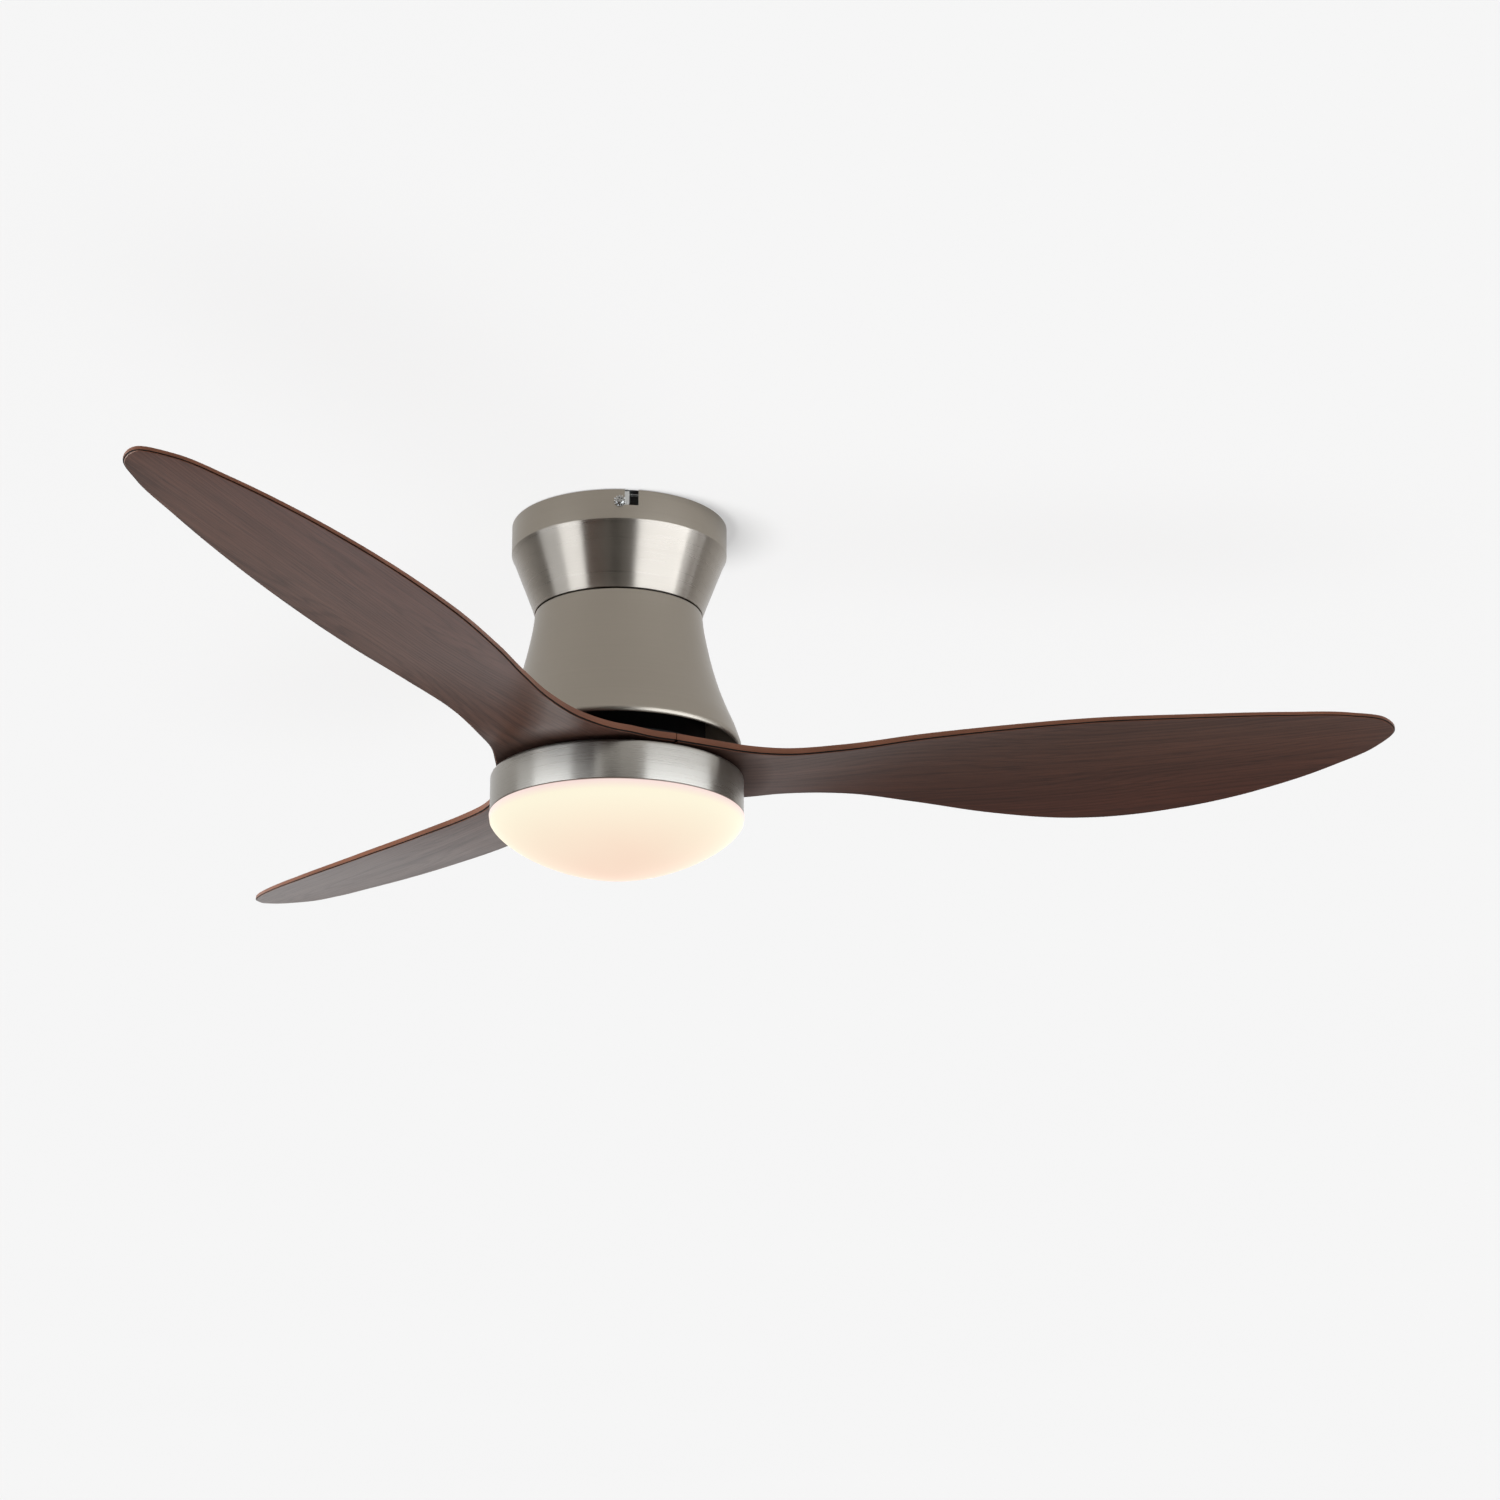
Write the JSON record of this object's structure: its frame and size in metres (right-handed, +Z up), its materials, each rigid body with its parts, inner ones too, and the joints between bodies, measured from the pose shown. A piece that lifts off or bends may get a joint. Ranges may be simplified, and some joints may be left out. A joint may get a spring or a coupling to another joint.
{
  "type": "ceiling fan with light",
  "caption": "Low-profile ceiling fan that circulates room air with twisted walnut blades under a satin nickel motor housing, with a domed opal LED light below the hub.",
  "frame": {"origin": "centre of the ceiling bracket's top face, where it rests on the ceiling, on the fan's axis", "axes": "+Z up into the ceiling along the fan's axis; -Y towards the front canopy screw; +X to the right seen from the front"},
  "size_m": [1.0099, 1.1485, 0.3095],
  "materials": {
    "satin_nickel": "satin nickel plate, brushed round the axis",
    "walnut": "dark walnut veneer with a satin lacquer",
    "opal": "satin opal acrylic",
    "black_steel": "matt black",
    "zinc_steel": "zinc plated",
    "bright_steel": "ground and polished",
    "cast_aluminium": "die cast, as cast",
    "black_cast": "die cast, black powder coat",
    "lamination_steel": "stacked laminations",
    "copper": "enamelled copper wire",
    "ferrite": "sintered ferrite",
    "rubber": "moulded",
    "white_plastic": "moulded, fine texture",
    "board_white": "white solder mask",
    "clear_lens": "clear moulded lens",
    "lead_sheath": "flexible sheath"
  },
  "bodies": {
    "fan_mount": {"canopy_screw_front": "bright_steel", "canopy_screw_rear": "bright_steel", "ceiling_bracket": "zinc_steel", "damper_left": "rubber", "damper_right": "rubber", "hanger_frame": "zinc_steel", "heat_sink_tray": "cast_aluminium", "housing_screw_1": "zinc_steel", "housing_screw_2": "zinc_steel", "housing_screw_3": "zinc_steel", "led_board": "board_white", "led_driver": "white_plastic", "led_lens_ring": "clear_lens", "light_lead": "lead_sheath", "light_pan": "black_steel", "light_ring": "satin_nickel", "lock_washer_front": "bright_steel", "lock_washer_rear": "bright_steel", "lower_inner_race": "bright_steel", "motor_housing": "satin_nickel", "motor_lead": "lead_sheath", "motor_shaft": "bright_steel", "receiver_box": "white_plastic", "retaining_ring": "bright_steel", "ring_screw_1": "zinc_steel", "ring_screw_2": "zinc_steel", "ring_screw_3": "zinc_steel", "shaft_nut_lower": "zinc_steel", "shaft_nut_middle": "zinc_steel", "shaft_nut_upper": "zinc_steel", "stator_core": "lamination_steel", "stator_windings": "copper", "terminal_block": "white_plastic", "terminal_lead": "lead_sheath", "upper_inner_race": "bright_steel", "yoke_bolt_left": "zinc_steel", "yoke_bolt_right": "zinc_steel"},
    "canopy": {"canopy": "satin_nickel"},
    "rotor": {"blade_1": "walnut", "blade_2": "walnut", "blade_3": "walnut", "blade_carrier": "black_steel", "blade_screw_1": "zinc_steel", "blade_screw_2": "zinc_steel", "blade_screw_3": "zinc_steel", "blade_screw_4": "zinc_steel", "blade_screw_5": "zinc_steel", "blade_screw_6": "zinc_steel", "carrier_screw_1": "zinc_steel", "carrier_screw_2": "zinc_steel", "carrier_screw_3": "zinc_steel", "lower_outer_race": "bright_steel", "magnet_ring": "ferrite", "rotor_lower_cover": "black_cast", "rotor_upper_cover": "black_cast", "upper_outer_race": "bright_steel"},
    "upper_cage": {"upper_ball_cage": "bright_steel"},
    "lower_cage": {"lower_ball_cage": "bright_steel"},
    "diffuser": {"diffuser": "opal"}
  },
  "joints": [
    {"name": "canopy_twist", "type": "hinge", "parent": "fan_mount", "child": "canopy", "pos_m": [0, 0, 0], "axis": [0, 0, 1], "range_deg": [-7.5, 0]},
    {"name": "rotor_spin", "type": "hinge", "parent": "fan_mount", "child": "rotor", "pos_m": [0, 0, -0.169], "axis": [0, 0, 1], "continuous": true},
    {"name": "upper_cage_orbit", "type": "hinge", "parent": "fan_mount", "child": "upper_cage", "pos_m": [0, 0, -0.142], "axis": [0, 0, 1], "continuous": true},
    {"name": "lower_cage_orbit", "type": "hinge", "parent": "fan_mount", "child": "lower_cage", "pos_m": [0, 0, -0.196], "axis": [0, 0, 1], "continuous": true},
    {"name": "diffuser_twist", "type": "hinge", "parent": "fan_mount", "child": "diffuser", "pos_m": [0, 0, -0.2475], "axis": [0, 0, 1], "range_deg": [0, 25]}
  ],
  "couplings": [
    {"joint": "upper_cage_orbit", "follows": "rotor_spin", "ratio": 0.5842},
    {"joint": "lower_cage_orbit", "follows": "rotor_spin", "ratio": 0.5842}
  ]
}
